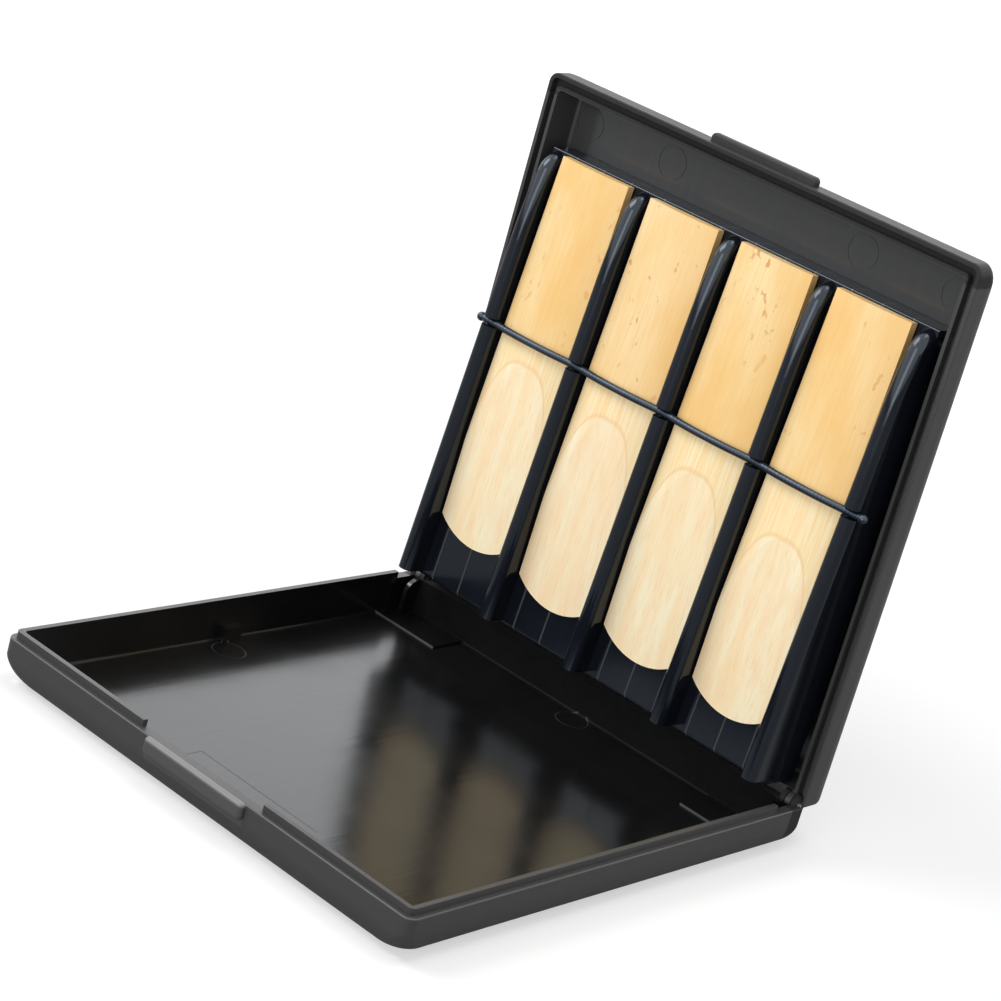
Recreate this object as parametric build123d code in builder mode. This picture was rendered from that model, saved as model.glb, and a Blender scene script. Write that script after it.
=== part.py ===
from build123d import *
import os
from math import atan2, cos, pi, radians, sin, tan

os.makedirs("parts", exist_ok=True)

# A flat moulded case for four single reeds, standing open. All sizes are millimetres.
# The origin is the centre of the lower shell's outer face, X runs along the hinge,
# the hinge is at +Y and +Z is up. The lid and all that it carries are drawn lying
# open flat behind the hinge, rim up, and are then stood up to the open position. The reed
# holder is drawn folded into the lid and is then swung out, as it is when the lid is open.

# Case
shell_height = 7.4
floor_thickness = 1.2
wall_thickness = 1.8
round_over = 4.4
round_over_steps = 8
corner_radius = 1.8
foot_corner_radius = 4.6
inner_corner = 0.7
inner_round = 0.5
rim_round = 0.25
parting_gap = 0.1
open_angle = 90.0
overrun = 3.0

# Tongue on the lower shell and the groove in the lid that takes it
tongue_inset = 0.9
tongue_height = 1.1
tongue_hinge_gap = 6.0
tongue_latch_gap = 26.2
groove_fit = 0.12
groove_spare = 0.3
rib_width = 0.6

# Thumb lips at the free edges
lip_length = 21.4
lid_lip_reach = 1.4
lid_lip_height = 1.6
lid_lip_setback = 1.3
tray_lip_reach = 0.9
tray_lip_height = 2.6
lip_end_round = 0.8
lip_edge_round = 0.5

# Hinge, each station measured inward from the outer side face
pin_radius = 0.75
pin_running_fit = 0.05
pin_seat_fit = 0.02
knuckle_radius = 1.5
knuckle_gap = 0.25
boss_inset = 0.7
boss_width = 0.9
station_gap = 0.2
lid_knuckle_width = 1.0
ear_width = 0.8
ear_reach = 5.0
ear_round = 2.4
stop_reach = 1.5
stop_height = 1.8
stop_fit = 0.1

# Small marks in the shells: hinge pads, a stiffening tab and ejector rings
pad_width = 14.2
pad_length = 7.6
pad_height = 0.3
tab_length = 3.6
tab_height = 2.6
tab_reach = 1.6
tab_from_hinge = 44.9
ring_radius = 2.8
ring_width = 0.25
ring_depth = 0.08
tray_ring_from_wall = 3.8
tray_ring_from_hinge = 47.5
hinge_ring_from_hinge = 4.4
lid_ring_from_side = 6.1
lid_ring_spacing = 18.2
latch_mark_width = 25.4
latch_mark_length = 12.0
latch_mark_depth = 0.03

# Reed holder
reed_count = 4
rail_width = 2.8
rail_round = 1.3
rail_root = 0.8
holder_end = 2.6
finger_well = 9.4
seat_start = -0.7
seat_end = 1.4
seat_thickness = 1.6
rail_height = 4.1
rail_nose_length = 16.0
rail_knee_length = 4.0
rail_knee_height = 3.2
skirt_width = 1.6
web_width = 1.2
seat_rib_width = 0.5
seat_rib_height = 0.2
seat_rib_spacing = 6.0
seat_edge_round = 0.6
foot_gap = 0.4
swing_out = 3.8
trunnion_radius = 1.0
trunnion_fit = 0.05
trunnion_depth = 1.2
trunnion_end_gap = 0.2
trunnion_from_start = 2.4
trunnion_from_floor = 2.8

# Reeds
reed_lengths = (67.2, 69.5, 69.5, 69.5)
reed_tip_width = 15.7
reed_taper = 0.65
reed_edge_thickness = 1.4
reed_crown_thickness = 2.5
reed_tip_thickness = 0.15
reed_tip_rise = 3.0
bark_length = 30.9
bark_step = 0.15
vamp_starts = (34.2, 35.6, 36.4, 39.0)
reed_setback = 0.4
reed_tip_room = 6.4
reed_lift = 0.05
reed_side_gap = 0.35

# Elastic cord
cord_diameter = 1.2
cord_from_start = 30.5
cord_side_gap = 0.15
cord_dip = 1.05
cord_rest_gap = 0.05
cord_reed_gap = 0.15
cord_crown_half = 3.7
cord_arc_share = 0.45
knot_radius = 0.8
knot_gap = 0.03
knot_wall_gap = 0.77

# Sizes and places worked out from these; the case is as wide as its reeds side by side
# and as long as one reed, its finger well and its walls
lid_wall = wall_thickness + groove_fit + rib_width
reed_butt_width = reed_tip_width - 2 * reed_taper
pitch = reed_tip_width + 2 * reed_side_gap + rail_width
holder_side_gap = knot_gap + 2 * knot_radius + knot_wall_gap - groove_fit - rib_width
cord_slot_width = cord_diameter + 2 * cord_side_gap
holder_width = reed_count * pitch + rail_width
case_width = holder_width + 2 * (holder_side_gap + lid_wall)
holder_start = holder_end + reed_setback + max(reed_lengths) + reed_tip_room
case_length = holder_start + finger_well + lid_wall
hinge_y = case_length / 2
rim_z = shell_height
side_x = case_width / 2
hinge_axis = Axis((0, hinge_y, rim_z), (1, 0, 0))
rim_top = rim_z - parting_gap / 2
lid_knuckle_inset = boss_inset + boss_width + station_gap
ear_inset = lid_knuckle_inset + lid_knuckle_width + station_gap
pin_length = ear_inset + ear_width - boss_inset
slope = atan2(seat_end - seat_start, holder_start - holder_end)
seat_length = (holder_start - holder_end) / cos(slope)
seat_origin = Vector(0, hinge_y + holder_start, rim_z + seat_start)
seat_normal = Vector(0, sin(slope), cos(slope))
to_tip = Vector(0, -cos(slope), sin(slope))
trunnion_y = hinge_y + holder_start - trunnion_from_start
trunnion_z = floor_thickness + trunnion_from_floor
trunnion_axis = Axis((0, trunnion_y, trunnion_z), (1, 0, 0))
rail_centres = [(i - reed_count / 2) * pitch for i in range(reed_count + 1)]
reed_centres = [(i - (reed_count - 1) / 2) * pitch for i in range(reed_count)]


def stand_up(piece):
    """Turn a piece of the lid from lying flat to the open position."""
    return piece.rotate(hinge_axis, 180.0 - open_angle)


def swing(piece):
    """Swing a piece of the folded reed holder out of the lid and stand it up with the lid."""
    return stand_up(piece.rotate(trunnion_axis, -swing_out))


def write(piece, name):
    """Label a finished piece and write it."""
    piece.label = name
    export_step(piece, "parts/" + name + ".step")


def side_plane(x):
    """Upright plane along the seat, its X towards the reed tips and its Y off the seat."""
    return Plane(seat_origin + Vector(x, 0, 0), x_dir=to_tip, z_dir=(-1, 0, 0))


def cross_plane(along):
    """Plane across the holder at a distance along the seat, its Y off the seat."""
    return Plane(seat_origin + to_tip * along, x_dir=(1, 0, 0), z_dir=to_tip)


def seat_plane(lift):
    """Plane of the seat or above it, its Y towards the free edge."""
    return Plane(seat_origin + seat_normal * lift, x_dir=(1, 0, 0), z_dir=seat_normal)


def outline(way, inset, hinge_inset, corner):
    """Plan of a shell drawn in from its faces, with its free corners round."""
    length = case_length - inset - hinge_inset
    with BuildSketch() as plan:
        with Locations((0, hinge_y + way * (hinge_inset + length / 2))):
            Rectangle(case_width - 2 * inset, length)
        fillet(plan.vertices().group_by(Axis.Y)[-1 if way > 0 else 0], corner)
    return plan.sketch


def inner_outline(way, inset, hinge_inset):
    """Plan of a wall, a groove or a rib that follows a shell's faces at a distance."""
    return outline(way, inset, hinge_inset, max(corner_radius - inset, inner_corner))


def patch(left, right, way, near, far):
    """Rectangle in plan between two distances from the hinge."""
    with BuildSketch() as plan:
        with Locations(((left + right) / 2, hinge_y + way * (near + far) / 2)):
            Rectangle(right - left, far - near)
    return plan.sketch


def rings(places):
    """Thin round grooves left by ejector pins."""
    with BuildSketch() as plan:
        with Locations(*places):
            Circle(ring_radius + ring_width / 2)
            Circle(ring_radius - ring_width / 2, mode=Mode.SUBTRACT)
    return plan.sketch


def rim_band(way, outer, inner, from_hinge):
    """Band in plan along the sides and the free edge, between two insets."""
    with BuildSketch() as plan:
        add(inner_outline(way, outer, 0))
        add(inner_outline(way, inner, 0), mode=Mode.SUBTRACT)
        add(patch(-side_x, side_x, way, -overrun, from_hinge), mode=Mode.SUBTRACT)
    return plan.sketch


def side_bar(y, z, inset, width, radius):
    """Round bar along X at the right, from an inset of the outer side face."""
    with BuildPart() as bar:
        with BuildSketch(Plane.YZ.offset(side_x - inset - width)):
            with Locations((y, z)):
                Circle(radius)
        extrude(amount=width)
    return bar.part


def hinge_bar(inset, width, radius):
    """Round bar on the hinge axis at the right."""
    return side_bar(hinge_y, rim_z, inset, width, radius)


def shell_blank(way, wall):
    """Hollow tray of one shell; way is +1 for the lid and -1 for the lower shell."""
    with BuildPart() as hollow:
        with BuildSketch(Plane.XY.offset(floor_thickness)):
            add(inner_outline(way, wall, wall_thickness))
        extrude(amount=shell_height)
        fillet(hollow.faces().sort_by(Axis.Z)[0].edges(), inner_round)
    with BuildPart() as blank:
        with BuildSketch(Plane.XY.offset(round_over)):
            add(outline(way, 0, 0, corner_radius))
        extrude(amount=rim_top - round_over)
        fillet(blank.faces().sort_by(Axis.Z)[-1].edges(), rim_round)
        # the outer edges round over to the floor, and the corners grow rounder with them
        for i in range(round_over_steps + 1):
            turn = pi / 2 * i / round_over_steps
            inset = round_over * (1 - cos(turn))
            corner = corner_radius + (foot_corner_radius - corner_radius) * sin(turn)
            with BuildSketch(Plane.XY.offset(round_over * (1 - sin(turn)))):
                add(outline(way, inset, inset, corner))
        loft()
        add(hollow.part, mode=Mode.SUBTRACT)
    return blank.part


def thumb_lip(way, reach, top, height):
    """Raised lip across the middle of a free edge, its outer corners round."""
    root = wall_thickness / 2
    outermost = -1 if way > 0 else 0
    with BuildPart() as lip:
        with BuildSketch(Plane.XY.offset(top - height)) as plan:
            add(patch(-lip_length / 2, lip_length / 2, way, case_length - root, case_length + reach))
            fillet(plan.vertices().group_by(Axis.Y)[outermost], lip_end_round)
        extrude(amount=height)
        fillet(lip.faces().sort_by(Axis.Y)[outermost].edges().filter_by(Axis.X), lip_edge_round)
    return lip.part


# Lower shell: a plain tray with the tongue, the fixed knuckles of the hinge, the ledge
# that holds the lid open and the lower half of the latch.
def hinge_ear():
    """Upright plate in the right hinge corner that carries the inner end of the pin."""
    with BuildPart() as ear:
        with BuildSketch(Plane.YZ.offset(side_x - ear_inset - ear_width)) as profile:
            with Locations((hinge_y - ear_reach / 2, (floor_thickness + rim_top) / 2)):
                Rectangle(ear_reach, rim_top - floor_thickness)
            fillet(profile.vertices().group_by(Axis.X)[0].group_by(Axis.Y)[-1], ear_round)
        extrude(amount=ear_width)
    return ear.part


def open_stop():
    """Ledge along the back, on which the opened lid comes to rest."""
    end = side_x - ear_inset
    top = rim_z - stop_fit - stop_reach * tan(radians(open_angle - 90.0))
    with BuildPart() as ledge:
        with BuildSketch(Plane.XY.offset(top - stop_height)):
            add(patch(-end, end, -1, -stop_reach, wall_thickness / 2))
        extrude(amount=stop_height)
    return ledge.part


hinge_parts = [hinge_ear(), hinge_bar(boss_inset, boss_width, knuckle_radius),
               hinge_bar(ear_inset, ear_width, knuckle_radius)]
clear_radius = knuckle_radius + knuckle_gap
knuckle_room = hinge_bar(lid_knuckle_inset - station_gap, lid_knuckle_width + 2 * station_gap, clear_radius)
pin_hole = hinge_bar(boss_inset, pin_length, pin_radius + pin_seat_fit)
inner_side = side_x - wall_thickness

with BuildPart() as lower_shell:
    add(shell_blank(-1, wall_thickness))
    # raised pads in both hinge corners
    with BuildSketch(Plane.XY.offset(floor_thickness)):
        for x in (-inner_side, inner_side - pad_width):
            add(patch(x, x + pad_width, -1, wall_thickness, wall_thickness + pad_length))
    extrude(amount=pad_height)
    add(open_stop())
    # knuckles, with room for the lid's knuckle between them and a bore for the pin
    for piece in hinge_parts:
        add(piece)
        mirror(piece, about=Plane.YZ)
    for piece in (knuckle_room, pin_hole):
        add(piece, mode=Mode.SUBTRACT)
        mirror(piece, about=Plane.YZ, mode=Mode.SUBTRACT)
    # tongue, broken at the latch and ending short of the hinge
    with BuildSketch(Plane.XY.offset(rim_top)):
        add(rim_band(-1, tongue_inset, wall_thickness, tongue_hinge_gap))
        add(patch(-tongue_latch_gap / 2, tongue_latch_gap / 2, -1, case_length / 2, case_length),
            mode=Mode.SUBTRACT)
    extrude(amount=tongue_height)
    # lower half of the latch
    add(thumb_lip(-1, tray_lip_reach, rim_top, tray_lip_height))
    # moulding marks in the floor
    with BuildSketch(Plane.XY.offset(floor_thickness)):
        add(rings([(tray_ring_from_wall - inner_side, hinge_y - tray_ring_from_hinge),
                   (0, hinge_y - hinge_ring_from_hinge)]))
    extrude(amount=-ring_depth, mode=Mode.SUBTRACT)
    with BuildSketch(Plane.XY.offset(floor_thickness)):
        mark_end = case_length - wall_thickness - inner_round
        add(patch(-latch_mark_width / 2, latch_mark_width / 2, -1, mark_end - latch_mark_length, mark_end))
    extrude(amount=-latch_mark_depth, mode=Mode.SUBTRACT)
    # small tab at the foot of the left wall
    with BuildSketch(Plane.XY.offset(floor_thickness - ring_depth)):
        add(patch(-inner_side - ring_depth, tab_reach - inner_side, -1, tab_from_hinge - tab_length / 2,
                  tab_from_hinge + tab_length / 2))
    extrude(amount=tab_height + ring_depth)
write(lower_shell.part, "lower_shell")


# Hinge pins: plain wires held in the lower shell's knuckles, on which the lid turns.
with BuildPart() as hinge_pin_right:
    add(hinge_bar(boss_inset, pin_length, pin_radius))
write(hinge_pin_right.part, "hinge_pin_right")
with BuildPart() as hinge_pin_left:
    mirror(hinge_pin_right.part, about=Plane.YZ)
write(hinge_pin_left.part, "hinge_pin_left")


# Upper shell: the lid, with the groove for the tongue, its own hinge knuckles, the holes
# for the reed holder's trunnions and the upper half of the latch.
groove_depth = tongue_height + groove_spare
boss_room = hinge_bar(boss_inset - station_gap, boss_width + 2 * station_gap, clear_radius)
ear_room_bar = hinge_bar(ear_inset - station_gap, ear_width + 2 * station_gap, clear_radius)
lid_knuckle = hinge_bar(lid_knuckle_inset, lid_knuckle_width, knuckle_radius)
lid_bore = hinge_bar(lid_knuckle_inset, lid_knuckle_width, pin_radius + pin_running_fit)
trunnion_hole = side_bar(trunnion_y, trunnion_z, lid_wall - trunnion_depth - trunnion_end_gap,
                         trunnion_depth + trunnion_end_gap + holder_side_gap / 2, trunnion_radius + trunnion_fit)
lid_ring_y = hinge_y + holder_start + finger_well / 2
lid_ring_side = side_x - lid_ring_from_side
lid_ring_places = []
for x in (lid_ring_side, lid_ring_side - lid_ring_spacing):
    lid_ring_places += [(-x, lid_ring_y), (x, lid_ring_y)]

with BuildPart() as upper_shell:
    add(shell_blank(1, lid_wall))
    with BuildSketch(Plane.XY.offset(rim_top - groove_depth)):
        add(rim_band(1, tongue_inset - groove_fit, wall_thickness + groove_fit, knuckle_radius))
    extrude(amount=groove_depth + overrun, mode=Mode.SUBTRACT)
    # room for the fixed knuckles, then the lid's own knuckle and its bore
    for piece in (boss_room, ear_room_bar):
        add(piece, mode=Mode.SUBTRACT)
        mirror(piece, about=Plane.YZ, mode=Mode.SUBTRACT)
    add(lid_knuckle)
    mirror(lid_knuckle, about=Plane.YZ)
    for piece in (lid_bore, trunnion_hole):
        add(piece, mode=Mode.SUBTRACT)
        mirror(piece, about=Plane.YZ, mode=Mode.SUBTRACT)
    add(thumb_lip(1, lid_lip_reach, rim_top - lid_lip_setback, lid_lip_height))
    with BuildSketch(Plane.XY.offset(floor_thickness)):
        add(rings(lid_ring_places))
    extrude(amount=-ring_depth, mode=Mode.SUBTRACT)
upper_shell.part = stand_up(upper_shell.part)
write(upper_shell.part, "upper_shell")


# Reed holder: one moulding with a sloping seat, a rail on each side of every reed and
# low ribs that keep the flat reeds off the seat. Its trunnions turn in the lid's walls.
start_y = hinge_y + holder_start
end_y = hinge_y + holder_end
holder_side = holder_width / 2
foot_z = floor_thickness + foot_gap
seat_drop = seat_thickness / cos(slope)
cord_radius = cord_diameter / 2


def seat_height(y):
    """Height of the seat at a place along the lid."""
    return rim_z + seat_start + (start_y - y) * tan(slope)


def height_off_seat(shape):
    """Distance of a shape's centre from the seat."""
    return (shape.center() - seat_origin).dot(seat_normal)


def rail(x):
    """One rail, with a nose that rises in two arcs and a rounded top."""
    with BuildPart() as bar:
        with BuildSketch(side_plane(x + rail_width / 2)):
            with BuildLine():
                foot = Line((rim_round, 0), (rim_round, -rail_root))
                base = Line(foot @ 1, (seat_length - seat_edge_round, -rail_root))
                end = Line(base @ 1, (seat_length - seat_edge_round, rail_height))
                crest = Line(end @ 1, (rail_nose_length, rail_height))
                nose = TangentArc(crest @ 1, (rail_knee_length, rail_knee_height), tangent=crest % 1)
                TangentArc(nose @ 1, foot @ 0, tangent=nose % 1)
            make_face()
        extrude(amount=rail_width)
        for side in (bar.faces().sort_by(Axis.X)[0], bar.faces().sort_by(Axis.X)[-1]):
            top = side.edges().filter_by(GeomType.LINE).sort_by(height_off_seat)[-1:]
            fillet(top + side.edges().filter_by(GeomType.CIRCLE), rail_round)
    return bar.part


def holder_block():
    """Solid wedge under the seat, its hinge end rounded, hollowed between the webs."""
    with BuildPart() as block:
        with BuildSketch(Plane.YZ.offset(-holder_side)):
            with BuildLine():
                Polyline((start_y, foot_z), (start_y, seat_height(start_y)),
                         (end_y, seat_height(end_y)), (end_y, foot_z), close=True)
            make_face()
        extrude(amount=holder_width)
        across = block.edges().filter_by(Axis.X).sort_by(Axis.Z)
        fillet(across[-1], seat_edge_round)
        fillet(across[-2], rim_round)
        for i in range(reed_count):
            left = max(rail_centres[i] + web_width / 2, skirt_width - holder_side)
            right = min(rail_centres[i + 1] - web_width / 2, holder_side - skirt_width)
            with BuildSketch(Plane.YZ.offset(left)):
                with BuildLine():
                    inner_y = start_y - skirt_width
                    open_y = end_y - overrun
                    Polyline((inner_y, foot_z - overrun),
                             (inner_y, seat_height(inner_y) - seat_drop),
                             (open_y, seat_height(open_y) - seat_drop),
                             (open_y, foot_z - overrun), close=True)
                make_face()
            extrude(amount=right - left, mode=Mode.SUBTRACT)
    return block.part


# The cord bears on the reeds' crowns and dips between them, so its route sets how deep
# the rails are notched.
crown_height = seat_rib_height + reed_lift + reed_crown_thickness + cord_reed_gap + cord_radius
dip_run = pitch / 2 - cord_crown_half
dip_turn = atan2(cord_dip, dip_run)
dip_radius = cord_arc_share * (dip_run / cos(dip_turn)) / tan(dip_turn)
rest_height = crown_height - cord_dip + dip_radius * (1 / cos(dip_turn) - 1)
slot_floor = rest_height - cord_radius - cord_rest_gap

with BuildPart() as reed_holder:
    add(holder_block())
    for x in rail_centres:
        add(rail(x))
    with BuildSketch(seat_plane(0)):
        for x in reed_centres:
            with Locations(*[(x + i * seat_rib_spacing, -seat_length / 2) for i in (-1, 0, 1)]):
                Rectangle(seat_rib_width, seat_length - 2 * seat_edge_round)
    extrude(amount=seat_rib_height)
    # trunnions near the butt end
    trunnion = side_bar(trunnion_y, trunnion_z, lid_wall - trunnion_depth,
                        trunnion_depth + holder_side_gap + skirt_width / 2, trunnion_radius)
    add(trunnion)
    mirror(trunnion, about=Plane.YZ)
    # notch across the rails for the elastic
    with BuildSketch(side_plane(holder_side + overrun)) as notch:
        with Locations((cord_from_start, slot_floor + rail_height / 2)):
            Rectangle(cord_slot_width, rail_height)
        fillet(notch.vertices().group_by(Axis.Z)[0], cord_radius)
    extrude(amount=holder_width + 2 * overrun, mode=Mode.SUBTRACT)
write(swing(reed_holder.part), "reed_holder")


# Reeds: flat cane tongues, golden bark at the butt, then the bark is cut off and the
# blade is planed to a thin round tip.
def reed(x, length, vamp_start):
    """One reed lying on the seat ribs, its butt towards the free edge."""
    wide = reed_tip_width / 2
    tip = reed_setback + length
    lift = seat_rib_height + reed_lift
    with BuildPart() as blade:
        # plan, taken up to the crown
        with BuildSketch(seat_plane(lift)):
            with BuildLine():
                ThreePointArc((x + wide, reed_tip_rise - tip), (x, -tip), (x - wide, reed_tip_rise - tip))
                Polyline((x - wide, reed_tip_rise - tip), (x - reed_butt_width / 2, -reed_setback),
                         (x + reed_butt_width / 2, -reed_setback), (x + wide, reed_tip_rise - tip))
            make_face()
        extrude(amount=reed_crown_thickness)
        # rounded back of the cane, one skin lower where the bark is cut off
        with BuildSketch(cross_plane(reed_setback)):
            add(cane_section(x, lift, 0))
        extrude(amount=length, mode=Mode.INTERSECT)
        with BuildSketch(cross_plane(reed_setback + bark_length)):
            with Locations((x, lift + reed_crown_thickness)):
                Rectangle(reed_tip_width + overrun, 2 * reed_crown_thickness)
            add(cane_section(x, lift, bark_step), mode=Mode.SUBTRACT)
        extrude(amount=length, mode=Mode.SUBTRACT)
        # planed blade
        with BuildSketch(side_plane(x + reed_tip_width)):
            with BuildLine():
                crown = lift + reed_crown_thickness - bark_step
                cut = reed_setback + vamp_start
                tip_top = lift + reed_tip_thickness
                Polyline((cut, crown), (tip, tip_top), (tip + overrun, tip_top),
                         (tip + overrun, crown + overrun), (cut, crown + overrun), close=True)
            make_face()
        extrude(amount=2 * reed_tip_width, mode=Mode.SUBTRACT)
    return blade.part


def cane_section(x, lift, skin):
    """Section across a reed, flat below and gently arched above."""
    wide = reed_tip_width / 2
    edge = lift + reed_edge_thickness - skin
    crown = lift + reed_crown_thickness - skin
    with BuildSketch() as section:
        with BuildLine():
            ThreePointArc((x + wide, edge), (x, crown), (x - wide, edge))
            Polyline((x - wide, edge), (x - wide, lift - overrun),
                     (x + wide, lift - overrun), (x + wide, edge))
        make_face()
    return section.sketch


for number, (x, length, cut) in enumerate(zip(reed_centres, reed_lengths, vamp_starts), 1):
    write(swing(reed(x, length, cut)), "reed_" + str(number))


# Elastic cord: one length stretched over the four reeds, resting in the notches of the
# rails, with a knot outside each outer rail.
def corner_radii(points):
    """Radius for each corner of a route, a share of its shorter run."""
    radii = []
    for before, corner, after in zip(points, points[1:], points[2:]):
        come, go = Vector(*corner) - Vector(*before), Vector(*after) - Vector(*corner)
        turn = radians(come.get_angle(go))
        radii.append(cord_arc_share * min(come.length, go.length) / tan(turn / 2))
    return radii


knot_x = holder_side + knot_gap + knot_radius
corners = [(-knot_x, rest_height), (rail_centres[0], rest_height)]
for i, x in enumerate(reed_centres):
    corners += [(x - cord_crown_half, crown_height), (x + cord_crown_half, crown_height)]
    if i < reed_count - 1:
        corners.append((rail_centres[i + 1], crown_height - cord_dip))
corners += [(rail_centres[-1], rest_height), (knot_x, rest_height)]
cord_radii = corner_radii(corners)

with BuildPart() as elastic_cord:
    with BuildLine(cross_plane(cord_from_start)):
        route = FilletPolyline(corners, radius=cord_radii)
    ends = [Plane(origin=route @ end, z_dir=route % end) for end in (0, 1)]
    with BuildSketch(ends[0]):
        Circle(cord_radius)
    sweep()
    cord_length = route.length
    print("cord radii", [round(radius, 1) for radius in cord_radii], "length", round(cord_length, 1))
    print("cord volume", round(elastic_cord.part.volume, 2), "section x length",
          round(pi * cord_radius ** 2 * cord_length, 2))
    with Locations(*ends):
        Sphere(knot_radius)
write(swing(elastic_cord.part), "elastic_cord")
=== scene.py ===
import math

import bmesh
import bpy
from mathutils import Matrix, Vector

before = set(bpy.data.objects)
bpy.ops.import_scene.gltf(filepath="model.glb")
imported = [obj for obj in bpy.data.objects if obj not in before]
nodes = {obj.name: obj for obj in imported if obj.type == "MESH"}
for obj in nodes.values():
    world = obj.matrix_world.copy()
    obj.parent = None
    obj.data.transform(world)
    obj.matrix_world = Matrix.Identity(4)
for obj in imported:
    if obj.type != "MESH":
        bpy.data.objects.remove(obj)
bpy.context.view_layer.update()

scene = bpy.context.scene
scene.view_settings.view_transform = "Standard"

# Camera: it looks down on the open case from its front right corner, with a long lens
# and its head tipped to one side.
camera_place = (0.25706, -0.33215, 0.19492)
sight = Vector((-0.570371, 0.750483, -0.333844))
to_right = Vector((0.710463, 0.654731, 0.258013))
to_top = to_right.cross(sight)
camera_data = bpy.data.cameras.new("camera")
camera_data.lens = 107.23
camera_data.sensor_width = 36.0
camera_data.clip_start, camera_data.clip_end = 0.05, 50.0
camera = bpy.data.objects.new("camera", camera_data)
scene.collection.objects.link(camera)
turn = Matrix((to_right, to_top, -sight)).transposed()
camera.matrix_world = Matrix.Translation(camera_place) @ turn.to_4x4()
scene.camera = camera

# Table and light: a wide pale table top under a soft white room, one broad lamp high on
# the left of the case, a weaker one over its lid and one in front of the reeds.
table_half = 6.0
table_grey = (0.42, 0.42, 0.42, 1)
white = (1, 1, 1, 1)
glow_reach = (0.12, 0.6)
glow_strength = (0.54, 0.85)


def add_node(tree, kind, **sockets):
    """A shader node with the given plain socket values."""
    node = tree.nodes.new("ShaderNode" + kind)
    for name, value in sockets.items():
        node.inputs[name.replace("_", " ")].default_value = value
    return node


def feed(tree, socket, value):
    """Gives a socket a number, a colour or another node's output."""
    if isinstance(value, bpy.types.NodeSocket):
        tree.links.new(value, socket)
    elif isinstance(value, tuple):
        socket.default_value = (*value, 1)
    else:
        socket.default_value = value


def sums(tree, operation, *values):
    """A math node on one to three outputs or numbers."""
    node = tree.nodes.new("ShaderNodeMath")
    node.operation = operation
    for socket, value in zip(node.inputs, values):
        feed(tree, socket, value)
    return node.outputs[0]


table_mesh = bpy.data.meshes.new("table")
bm = bmesh.new()
bmesh.ops.create_grid(bm, x_segments=8, y_segments=8, size=table_half)
bm.to_mesh(table_mesh)
bm.free()
table = bpy.data.objects.new("table", table_mesh)
scene.collection.objects.link(table)

# mid grey paint that takes the shadow, whitened for the camera alone by a glow that grows
# with the distance from the case
table_paint = bpy.data.materials.new("pale table")
table_paint.use_nodes = True
tree = table_paint.node_tree
tree.nodes.clear()
matt = add_node(tree, "BsdfDiffuse", Color=table_grey)
glow = add_node(tree, "Emission", Color=white)
path = add_node(tree, "LightPath")
spot = add_node(tree, "TexCoord")
away = add_node(tree, "VectorMath")
away.operation = "LENGTH"
fade = add_node(tree, "MapRange", From_Min=glow_reach[0], From_Max=glow_reach[1],
                To_Min=glow_strength[0], To_Max=glow_strength[1])
both = add_node(tree, "AddShader")
out = add_node(tree, "OutputMaterial")
tree.links.new(spot.outputs["Object"], away.inputs[0])
tree.links.new(away.outputs["Value"], fade.inputs["Value"])
lift = sums(tree, "MULTIPLY", path.outputs["Is Camera Ray"], fade.outputs["Result"])
tree.links.new(lift, glow.inputs["Strength"])
tree.links.new(matt.outputs[0], both.inputs[0])
tree.links.new(glow.outputs[0], both.inputs[1])
tree.links.new(both.outputs[0], out.inputs["Surface"])
table_mesh.materials.append(table_paint)

# soft fill for matt surfaces, white for the camera, brighter where polished plastic mirrors it
room_fill = 0.5
room_extra = (("Is Camera Ray", 0.5), ("Is Transmission Ray", 0.5), ("Is Glossy Ray", 1.9))
room = bpy.data.worlds.new("room")
scene.world = room
room.use_nodes = True
tree = room.node_tree
tree.nodes.clear()
path = add_node(tree, "LightPath")
sky = add_node(tree, "Background", Color=white)
out = add_node(tree, "OutputWorld")
strength = room_fill
for ray, extra in room_extra:
    strength = sums(tree, "MULTIPLY_ADD", path.outputs[ray], extra, strength)
tree.links.new(strength, sky.inputs["Strength"])
tree.links.new(sky.outputs[0], out.inputs["Surface"])


def lamp(name, place, aim, size, watts):
    """One square soft lamp that looks at a point."""
    data = bpy.data.lights.new(name, "AREA")
    data.size, data.energy = size, watts
    item = bpy.data.objects.new(name, data)
    scene.collection.objects.link(item)
    item.location = place
    item.rotation_mode = "QUATERNION"
    item.rotation_quaternion = (Vector(aim) - Vector(place)).to_track_quat("-Z", "Y")


lamp("broad lamp", place=(-0.55, -0.45, 0.75), aim=(0, 0.02, 0.03), size=0.5, watts=6.0)
lamp("lid lamp", place=(0.1, 0.15, 0.9), aim=(0, 0.04, 0.05), size=0.5, watts=3.0)
lamp("front lamp", place=(0.2, -0.95, 0.3), aim=(0, 0.04, 0.05), size=0.6, watts=4.0)


# Lower shell: one moulding of black styrene, grained on the outside and polished inside, with faint
# smears and painted highlights on its pad edges, ring rims and thumb lip. Its shape is the frame's
# own; its plastic is made here.
floor_top = 0.0017
# where the painted highlight lines lie: the pads' front edges and the rims round the ejector rings
pad_front, pad_inner = 0.03601, 0.028
pad_line = (0.00005, 0.0001)
ring_centres = ((-0.0384, -0.00209), (0.0, 0.04101))
ring_radius, ring_strength = 0.0028, 0.6
ring_line = (0.00008, 0.00014)
# paler grey of the painted highlights on the pad edges and ring rims
edge_highlight_grey = (0.08, 0.08, 0.08)
lip_half = 0.0107
# roughness, and the duller strip along the foot of the far wall, measured from that wall
rough_inside = (0.15, 0.21)
rough_outside = (0.435, 0.455)
foot_starts, foot_full = 0.0012, 0.0009
foot_rough = 0.35
# how strongly and in what tint the plastic shines, and how deep its grain and smears are
shine, shine_at_foot = 0.42, 0.06
shine_inside, shine_outside = (0.86, 0.93, 1.0), (1, 1, 1)
smear_grey, smear_share = (0.02, 0.02, 0.021), 0.3
grain_depth, smear_depth = 0.000018, 0.000012
grain_lost_inside = 0.85


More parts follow.
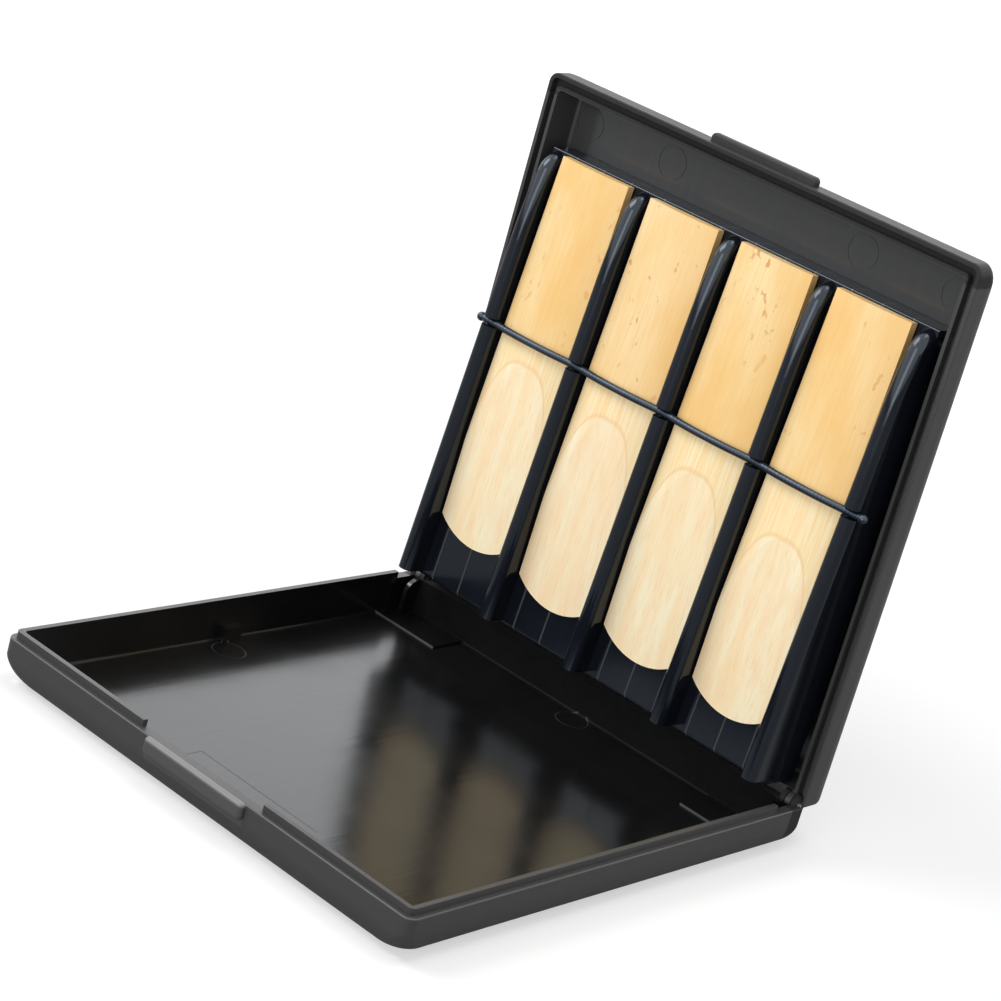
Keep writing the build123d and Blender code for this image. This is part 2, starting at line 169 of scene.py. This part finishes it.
def spread(tree, value, low, high, to_low, to_high):
    """A smooth change of one number into another range."""
    node = add_node(tree, "MapRange", From_Min=low, From_Max=high, To_Min=to_low, To_Max=to_high)
    node.interpolation_type = "SMOOTHSTEP"
    tree.links.new(value, node.inputs["Value"])
    return node.outputs["Result"]


def distance(tree, value, centre):
    """How far a number is from another, either way."""
    return sums(tree, "ABSOLUTE", sums(tree, "SUBTRACT", value, centre))


def places(tree, origin=(0, 0, 0), tilt=0.0, stretch=(1, 1, 1)):
    """Object coordinates from an origin, turned about X and then stretched."""
    here = tree.nodes.new("ShaderNodeTexCoord")
    turned = add_node(tree, "Mapping")
    turned.vector_type = "TEXTURE"
    turned.inputs["Location"].default_value = origin
    turned.inputs["Rotation"].default_value = (tilt, 0, 0)
    tree.links.new(here.outputs["Object"], turned.inputs["Vector"])
    if stretch == (1, 1, 1):
        return turned.outputs["Vector"]
    scaled = add_node(tree, "Mapping", Scale=stretch)
    tree.links.new(turned.outputs["Vector"], scaled.inputs["Vector"])
    return scaled.outputs["Vector"]


def noise(tree, vector, scale, detail=3.0, roughness=0.5):
    """Smooth noise from 0 to 1."""
    node = add_node(tree, "TexNoise", Scale=scale, Detail=detail, Roughness=roughness)
    tree.links.new(vector, node.inputs["Vector"])
    return node.outputs["Fac"]


def varied(tree, cloud, low, high):
    """A number that wanders between two with the noise."""
    return spread(tree, cloud, 0.3, 0.7, low, high)


def tint(tree, amount, first, second):
    """A colour between two, by an amount from 0 to 1."""
    node = tree.nodes.new("ShaderNodeMix")
    node.data_type = "RGBA"
    for socket, value in ((0, amount), (6, first), (7, second)):
        feed(tree, node.inputs[socket], value)
    return node.outputs[2]


def blend(tree, amount, first, second):
    """A number between two, by an amount from 0 to 1."""
    node = tree.nodes.new("ShaderNodeMix")
    for socket, value in ((0, amount), (2, first), (3, second)):
        feed(tree, node.inputs[socket], value)
    return node.outputs[0]


def finish(name):
    """A new material with its tree and its shader."""
    material = bpy.data.materials.new(name)
    material.use_nodes = True
    return material, material.node_tree, material.node_tree.nodes["Principled BSDF"]


def split_axes(tree, vector):
    """The three numbers of a place."""
    node = tree.nodes.new("ShaderNodeSeparateXYZ")
    tree.links.new(vector, node.inputs[0])
    return node.outputs


def dents(tree, shader, parts):
    """Bumps of several heights, each (height output, depth in metres)."""
    last = None
    for height, depth in parts:
        bump = add_node(tree, "Bump", Strength=1.0, Distance=depth)
        tree.links.new(height, bump.inputs["Height"])
        if last:
            tree.links.new(last, bump.inputs["Normal"])
        last = bump.outputs["Normal"]
    tree.links.new(last, shader.inputs["Normal"])


def dress(node, material):
    """Puts one material on every slot of a piece of the frame."""
    if not node.material_slots:
        node.data.materials.append(material)
    for place in node.material_slots:
        place.material = material


def tray_edge_highlights(tree, axes):
    """Painted highlights along the front edges of the two hinge pads and the rims of the two
    ejector rings.
    """
    on_front = spread(tree, distance(tree, axes["Y"], pad_front), *pad_line, 1, 0)
    on_pad = sums(tree, "GREATER_THAN", sums(tree, "ABSOLUTE", axes["X"]), pad_inner)
    found = [sums(tree, "MULTIPLY", on_front, on_pad)]
    for x, y in ring_centres:
        off_x = sums(tree, "SUBTRACT", axes["X"], x)
        off_y = sums(tree, "SUBTRACT", axes["Y"], y)
        squares = sums(tree, "ADD", sums(tree, "MULTIPLY", off_x, off_x),
                       sums(tree, "MULTIPLY", off_y, off_y))
        off_rim = distance(tree, sums(tree, "SQRT", squares), ring_radius)
        found.append(spread(tree, off_rim, *ring_line, ring_strength, 0))
    on_floor = sums(tree, "LESS_THAN", axes["Z"], floor_top)
    return [sums(tree, "MULTIPLY", highlight, on_floor) for highlight in found]


def no_edge_highlights(tree, axes):
    """The lid has no pads, and its rings get no painted highlight."""
    return []


def between_walls(tree, axes, wall, floor, near_end, far_end):
    """1 on the faces between the walls and on the floor, 0 on all the others."""
    across = sums(tree, "LESS_THAN", sums(tree, "ABSOLUTE", axes["X"]), wall)
    past_near = sums(tree, "GREATER_THAN", axes["Y"], near_end)
    before_far = sums(tree, "LESS_THAN", axes["Y"], far_end)
    above = sums(tree, "GREATER_THAN", axes["Z"], floor)
    return sums(tree, "MULTIPLY", sums(tree, "MULTIPLY", across, above),
                sums(tree, "MULTIPLY", past_near, before_far))


def lip_highlight(tree, axes, lip_from, edge_low, edge_high):
    """How strongly the thumb lip gets its painted highlight: 0 off it, 1 along its upper edge."""
    outwards = sums(tree, "MULTIPLY", axes["Y"], math.copysign(1.0, lip_from))
    off_wall = sums(tree, "GREATER_THAN", outwards, abs(lip_from))
    in_length = sums(tree, "LESS_THAN", sums(tree, "ABSOLUTE", axes["X"]), lip_half)
    on_edge = spread(tree, axes["Z"], edge_low, edge_high, 0.2, 1.0)
    return sums(tree, "MULTIPLY", sums(tree, "MULTIPLY", off_wall, in_length), on_edge)


def shell_plastic(name, origin, tilt, wall, floor, ends, greys, lip, lip_highlight_grey, marks):
    """Black moulded plastic, polished between the walls and grained outside them, with painted
    highlights.
    """
    material, tree, shader = finish(name)
    here = places(tree, origin, tilt)
    axes = split_axes(tree, here)
    inside = between_walls(tree, axes, wall, floor, *ends)
    grain = noise(tree, here, scale=5200.0, detail=2.0)
    cloud = noise(tree, here, scale=60.0, detail=4.0)
    smear = noise(tree, places(tree, origin, tilt, (1, 0.06, 1)), scale=900.0, roughness=0.6)
    # the polish stops short of the corner at the foot of the far wall
    foot = spread(tree, axes["Y"], ends[1] - foot_starts, ends[1] - foot_full, 0, foot_rough)
    rough_in = sums(tree, "ADD", varied(tree, cloud, *rough_inside), foot)
    rough_out = varied(tree, cloud, *rough_outside)
    tree.links.new(blend(tree, inside, rough_out, rough_in), shader.inputs["Roughness"])
    shine_there = spread(tree, foot, 0, foot_rough, shine, shine_at_foot)
    tree.links.new(shine_there, shader.inputs["Specular IOR Level"])
    shine_tint = tint(tree, inside, shine_outside, shine_inside)
    tree.links.new(shine_tint, shader.inputs["Specular Tint"])
    # the inside grey is given per shell: the lid's is painted lighter than the tray's, as painted
    # light on the lid's inner face
    grey_inside, grey_outside = greys
    tone = tint(tree, inside, (grey_outside,) * 3, (grey_inside,) * 3)
    tone = tint(tree, sums(tree, "MULTIPLY", smear, smear_share), tone, smear_grey)
    # painted highlight: the thumb lip is paler, most of all along its upper edge
    tone = tint(tree, lip_highlight(tree, axes, *lip), tone, (lip_highlight_grey,) * 3)
    # painted highlights: paler lines along the pads' front edges and the ejector rings' rims
    for highlight in marks(tree, axes):
        tone = tint(tree, sums(tree, "MULTIPLY", highlight, inside), tone, edge_highlight_grey)
    tree.links.new(tone, shader.inputs["Base Color"])
    kept = sums(tree, "SUBTRACT", 1.0, sums(tree, "MULTIPLY", inside, grain_lost_inside))
    dents(tree, shader, [(sums(tree, "MULTIPLY", grain, kept), grain_depth),
                         (smear, smear_depth)])
    return material


tray_plastic = shell_plastic("lower shell plastic", origin=(0, 0, 0), tilt=0.0, wall=0.0423,
                             floor=0.0011, ends=(-0.0437, 0.0437), greys=(0.002, 0.030),
                             lip=(-0.04535, 0.0066, 0.0072), lip_highlight_grey=0.13, marks=tray_edge_highlights)
dress(nodes["lower_shell"], tray_plastic)


# Upper shell: the lid of the same black styrene, standing on the hinge at the back, its
# rim grooved to close over the tray's tongue.
lid_open = math.radians(90.0)
lid_tilt = math.pi - lid_open
hinge_at = (0, 0.04541, 0.0074)
# its inside grey, 0.060, is painted lighter than the tray's to stand in for the light on the lid's
# inner face
lid_plastic = shell_plastic("upper shell plastic", origin=hinge_at, tilt=lid_tilt, wall=0.0416,
                            floor=-0.0063, ends=(0.0017, 0.0884), greys=(0.060, 0.034),
                            lip=(0.09085, -0.0031, -0.0015), lip_highlight_grey=0.045, marks=no_edge_highlights)
dress(nodes["upper_shell"], lid_plastic)


# Hinge pins: two short cut lengths of drawn steel wire pushed into the lower shell's
# knuckles, on which the lid turns.
scratch_depth = 0.000003
wire, tree, shader = finish("drawn wire")
scratch = noise(tree, places(tree, stretch=(0.05, 1, 1)), scale=9000.0)
wire_tone = tint(tree, scratch, (0.34, 0.34, 0.35), (0.48, 0.48, 0.49))
tree.links.new(wire_tone, shader.inputs["Base Color"])
tree.links.new(varied(tree, scratch, 0.25, 0.4), shader.inputs["Roughness"])
shader.inputs["Metallic"].default_value = 1.0
dents(tree, shader, [(scratch, scratch_depth)])
for name in ("hinge_pin_left", "hinge_pin_right"):
    dress(nodes[name], wire)


# Reed holder: a separate ramp of glossier black plastic with five round rails. It turns on
# trunnions in the lid's walls and leans out of the lid; its seat has fine ribs for the reeds.
seat_rise, seat_run = 0.0021, 0.0763
leans_out = math.radians(3.8)
seat_tilt = lid_tilt - (math.atan2(seat_rise, seat_run) + leans_out)
seat_at = (0, 0.046275, 0.0864736)
pitch = 0.0192
rib_pitch = 0.006
rib_half = 0.00025
rib_highlight_width = (0.00004, 0.00012)
rib_top = (0.00045, 0.0005)
draw_depth = 0.000004
holder_plastic, tree, shader = finish("reed holder plastic")
here = places(tree, seat_at, seat_tilt)
axes = split_axes(tree, here)
cloud = noise(tree, here, scale=90.0, detail=4.0)
draw = noise(tree, places(tree, seat_at, seat_tilt, (1, 0.05, 1)), scale=900.0, roughness=0.6)
# three ribs stand in each reed's lane, and a paler line is painted along one edge of each as a
# highlight
lane = sums(tree, "FLOORED_MODULO", axes["X"], pitch)
lane = sums(tree, "FLOORED_MODULO", sums(tree, "ADD", lane, 1.5 * rib_pitch - pitch / 2), rib_pitch)
off_rib = distance(tree, lane, rib_pitch / 2 + rib_half)
rib_highlight = sums(tree, "MULTIPLY", spread(tree, off_rib, *rib_highlight_width, 1, 0),
                spread(tree, axes["Z"], *rib_top, 1, 0))
plain = tint(tree, draw, (0.004, 0.005, 0.008), (0.008, 0.010, 0.015))
holder_tone = tint(tree, rib_highlight, plain, (0.10, 0.105, 0.11))
tree.links.new(holder_tone, shader.inputs["Base Color"])
tree.links.new(varied(tree, cloud, 0.10, 0.15), shader.inputs["Roughness"])
shader.inputs["Specular IOR Level"].default_value = 0.38
shader.inputs["Specular Tint"].default_value = (0.78, 0.89, 1.0, 1)
dents(tree, shader, [(draw, draw_depth)])
dress(nodes["reed_holder"], holder_plastic)


# Reeds: tongues of cane. The golden bark is left on the butt, its edge is cut square
# under the elastic, and the blade is planed from an arch down to the tip.
half_width = 0.00785
bark_end, bark_soft = 0.0313, 0.0001
arch_length, arch_power, arch_soft = 0.013, 3.2, 0.0003
# a darker line before and past the arch, painted shade on one flank of the bark and the cut side
# faces
arch_line_from, arch_line_at, arch_line_to = -0.0009, -0.0001, 0.0005
flank_shade_from, flank_shade_to = -0.001, 0.0078
side_from, side_to = 0.0068, 0.0078
bark_gold, bark_pale = (0.86, 0.55, 0.21), (0.89, 0.69, 0.37)
bark_fibre, bark_spot, bark_flank_shade = (0.76, 0.48, 0.18), (0.58, 0.20, 0.04), (0.86, 0.50, 0.15)
back_pale, back_fibre = (0.95, 0.81, 0.52), (0.92, 0.67, 0.34)
blade_pale, blade_band = (0.95, 0.85, 0.60), (0.95, 0.74, 0.46)
blade_fibre, blade_blush = (0.88, 0.63, 0.34), (0.93, 0.66, 0.42)
arch_line, side_brown = (0.78, 0.50, 0.22), (0.55, 0.32, 0.12)
bark_rough, bare_rough = 0.36, 0.62
fibre_depth, band_depth = 0.00004, 0.00003


def cane(name, centre, blade_start, shade, marks):
    """Cane with its bark, its bare back and its planed blade in their own colours, with painted
    shade on one flank of the bark.
    """
    material, tree, shader = finish(name)

    def grown(squeeze, scale, detail=3.0, roughness=0.5):
        """Noise drawn out along the reed, from another part of the cane for each reed."""
        shifted = (centre * 3.0, seat_at[1], seat_at[2])
        stretched = places(tree, shifted, seat_tilt, (1, squeeze, 1))
        return noise(tree, stretched, scale, detail, roughness)

    axes = split_axes(tree, places(tree, (centre, seat_at[1], seat_at[2]), seat_tilt))
    across = axes["X"]
    along = sums(tree, "MULTIPLY", axes["Y"], -1.0)
    from_middle = sums(tree, "ABSOLUTE", across)
    fibre = grown(squeeze=0.02, scale=3800.0, detail=4.0, roughness=0.65)
    band = grown(squeeze=0.10, scale=420.0)
    patchy = grown(squeeze=0.45, scale=130.0)
    fleck = grown(squeeze=0.55, scale=700.0, roughness=0.6)
    blush = grown(squeeze=0.35, scale=260.0)
    # bark, with brown spots and painted shade darkening its flank on one side
    bark = tint(tree, varied(tree, patchy, 0, 1), bark_gold, bark_pale)
    bark = tint(tree, spread(tree, fibre, 0.42, 0.62, 0, 0.35), bark, bark_fibre)
    spots = sums(tree, "MULTIPLY", spread(tree, fleck, 0.66 - marks, 0.72 - marks, 0, 0.75),
                 spread(tree, patchy, 0.48, 0.62, 0, 1))
    bark = tint(tree, spots, bark, bark_spot)
    bark = tint(tree, spread(tree, across, flank_shade_from, flank_shade_to, 0, 0.5), bark, bark_flank_shade)
    # bare back and planed blade
    back = tint(tree, spread(tree, fibre, 0.35, 0.65, 0, 1), back_pale, back_fibre)
    blade = tint(tree, varied(tree, band, 0, 1), blade_pale, blade_band)
    blade = tint(tree, spread(tree, fibre, 0.48, 0.68, 0, 0.6), blade, blade_fibre)
    blade = tint(tree, spread(tree, blush, 0.52, 0.72, 0, 0.45), blade, blade_blush)
    # the bark is cut off straight across, and the blade is planed from an arch on
    past_bark = spread(tree, along, bark_end - bark_soft, bark_end + bark_soft, 0, 1)
    share = sums(tree, "DIVIDE", from_middle, half_width)
    arch = sums(tree, "MULTIPLY", sums(tree, "POWER", share, arch_power), arch_length)
    depth = sums(tree, "SUBTRACT", sums(tree, "SUBTRACT", along, blade_start), arch)
    planed = spread(tree, depth, -arch_soft, arch_soft, 0, 1)
    colour = tint(tree, planed, tint(tree, past_bark, bark, back), blade)
    line = sums(tree, "MULTIPLY", spread(tree, depth, arch_line_from, arch_line_at, 0, 1),
                spread(tree, depth, arch_line_at, arch_line_to, 1, 0))
    colour = tint(tree, sums(tree, "MULTIPLY", line, 0.45), colour, arch_line)
    colour = tint(tree, spread(tree, patchy, 0.2, 0.8, 0, 0.12), colour, shade)
    # cut side faces are browner
    side = spread(tree, from_middle, side_from, side_to, 0, 0.25)
    tree.links.new(tint(tree, side, colour, side_brown), shader.inputs["Base Color"])
    tree.links.new(blend(tree, past_bark, bark_rough, bare_rough), shader.inputs["Roughness"])
    shader.inputs["Specular IOR Level"].default_value = 0.35
    dents(tree, shader, [(fibre, fibre_depth), (band, band_depth)])
    return material


# each reed's number, where its blade begins, its own shade and how many spots it has
for number, start, shade, marks in ((1, 0.0346, (0.90, 0.60, 0.28), 0.04),
                                    (2, 0.0360, (0.90, 0.55, 0.34), 0.03),
                                    (3, 0.0368, (0.95, 0.72, 0.40), 0.08),
                                    (4, 0.0394, (0.92, 0.60, 0.28), 0.02)):
    centre = (number - 2.5) * pitch
    dress(nodes["reed_%d" % number], cane("cane %d" % number, centre, start, shade, marks))


# Elastic: one length of round dark elastic drawn over the reeds and through the notches
# of the rails, knotted outside the outer rails.
elastic, tree, shader = finish("dark elastic")
weave = add_node(tree, "TexWave", Scale=900.0, Distortion=1.5, Detail=2.0)
weave.bands_direction = "DIAGONAL"
tree.links.new(places(tree), weave.inputs["Vector"])
thread = weave.outputs["Fac"]
thread_depth = 0.00002
elastic_tone = tint(tree, thread, (0.004, 0.006, 0.012), (0.012, 0.017, 0.028))
tree.links.new(elastic_tone, shader.inputs["Base Color"])
shader.inputs["Roughness"].default_value = 0.30
shader.inputs["Specular IOR Level"].default_value = 0.5
shader.inputs["Specular Tint"].default_value = (0.72, 0.86, 1.0, 1)
dents(tree, shader, [(thread, thread_depth)])
dress(nodes["elastic_cord"], elastic)
